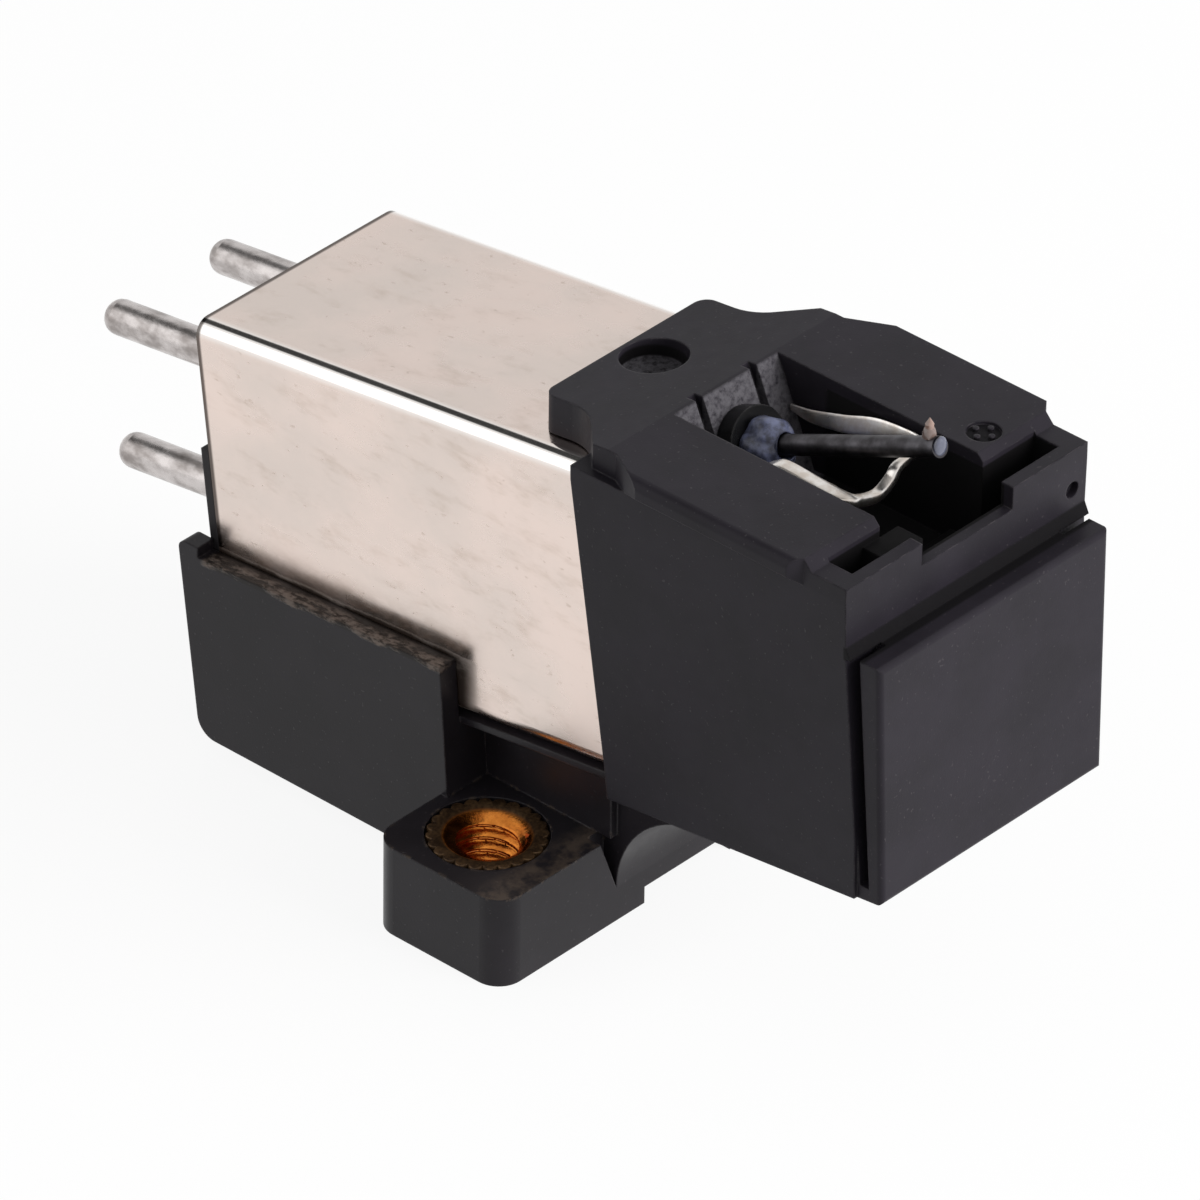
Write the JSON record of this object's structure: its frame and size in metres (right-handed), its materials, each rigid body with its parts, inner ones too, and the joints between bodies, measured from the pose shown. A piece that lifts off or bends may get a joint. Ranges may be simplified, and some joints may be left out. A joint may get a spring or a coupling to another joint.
{
  "type": "turntable stylus cartridge",
  "caption": "Moving-magnet phono cartridge with a tilted metal can, eared mounting bracket, rear pins and a pull-off stylus holder with a sprung cantilever.",
  "frame": {"origin": "midway between the two threaded mounting holes, on the plane of the mounting pads", "axes": "+Z from the pads towards the stylus, -Y to the front, X across the ears"},
  "size_m": [0.0182, 0.0369, 0.0227],
  "materials": {
    "bracket_plastic": "satin moulded",
    "holder_plastic": "fine satin moulded",
    "terminal_plastic": "moulded",
    "carrier_plastic": "moulded",
    "insert_brass": "knurled, dulled",
    "can_nickel": "satin nickel plate",
    "pin_tin": "dull tin plate",
    "winding_copper": "enamelled copper wire",
    "core_iron": "annealed alloy",
    "sleeve_black": "black",
    "damper_rubber": "translucent blue-grey",
    "clip_steel": "bright",
    "cantilever_alloy": "dull",
    "magnet_grey": "plain",
    "stylus_crystal": "polished"
  },
  "bodies": {
    "cartridge_body": {"mounting_bracket": "bracket_plastic", "terminal_block": "terminal_plastic", "threaded_insert_left": "insert_brass", "threaded_insert_right": "insert_brass", "shield_can": "can_nickel", "coil_carrier": "carrier_plastic", "bobbin_left": "carrier_plastic", "bobbin_right": "carrier_plastic", "coil_winding_left": "winding_copper", "coil_winding_right": "winding_copper", "pole_piece_left": "core_iron", "pole_piece_right": "core_iron", "core_yoke": "core_iron", "pin_left_lower": "pin_tin", "pin_left_upper": "pin_tin", "pin_right_lower": "pin_tin", "pin_right_upper": "pin_tin"},
    "stylus_assembly": {"stylus_holder": "holder_plastic", "pivot_sleeve": "sleeve_black", "retaining_clip": "clip_steel"},
    "suspension": {"damper_ring": "damper_rubber", "suspension_wire": "clip_steel"},
    "cantilever": {"cantilever": "cantilever_alloy", "magnet": "magnet_grey", "stylus_tip": "stylus_crystal"}
  },
  "joints": [
    {"name": "stylus_pull_off", "type": "slide", "parent": "cartridge_body", "child": "stylus_assembly", "axis": [0, -0.9921, 0.1253], "range_m": [0, 0.012]},
    {"name": "cantilever_sway", "type": "hinge", "parent": "stylus_assembly", "child": "suspension", "pos_m": [0, -0.0066, 0.0187], "axis": [0, 0.4051, 0.9143], "range_deg": [-2.5, 2.5], "stiffness_Nm_per_rad": 0.008},
    {"name": "cantilever_lift", "type": "hinge", "parent": "suspension", "child": "cantilever", "pos_m": [0, -0.0066, 0.0187], "axis": [1, 0, 0], "range_deg": [-2.5, 2.5], "stiffness_Nm_per_rad": 0.008}
  ]
}
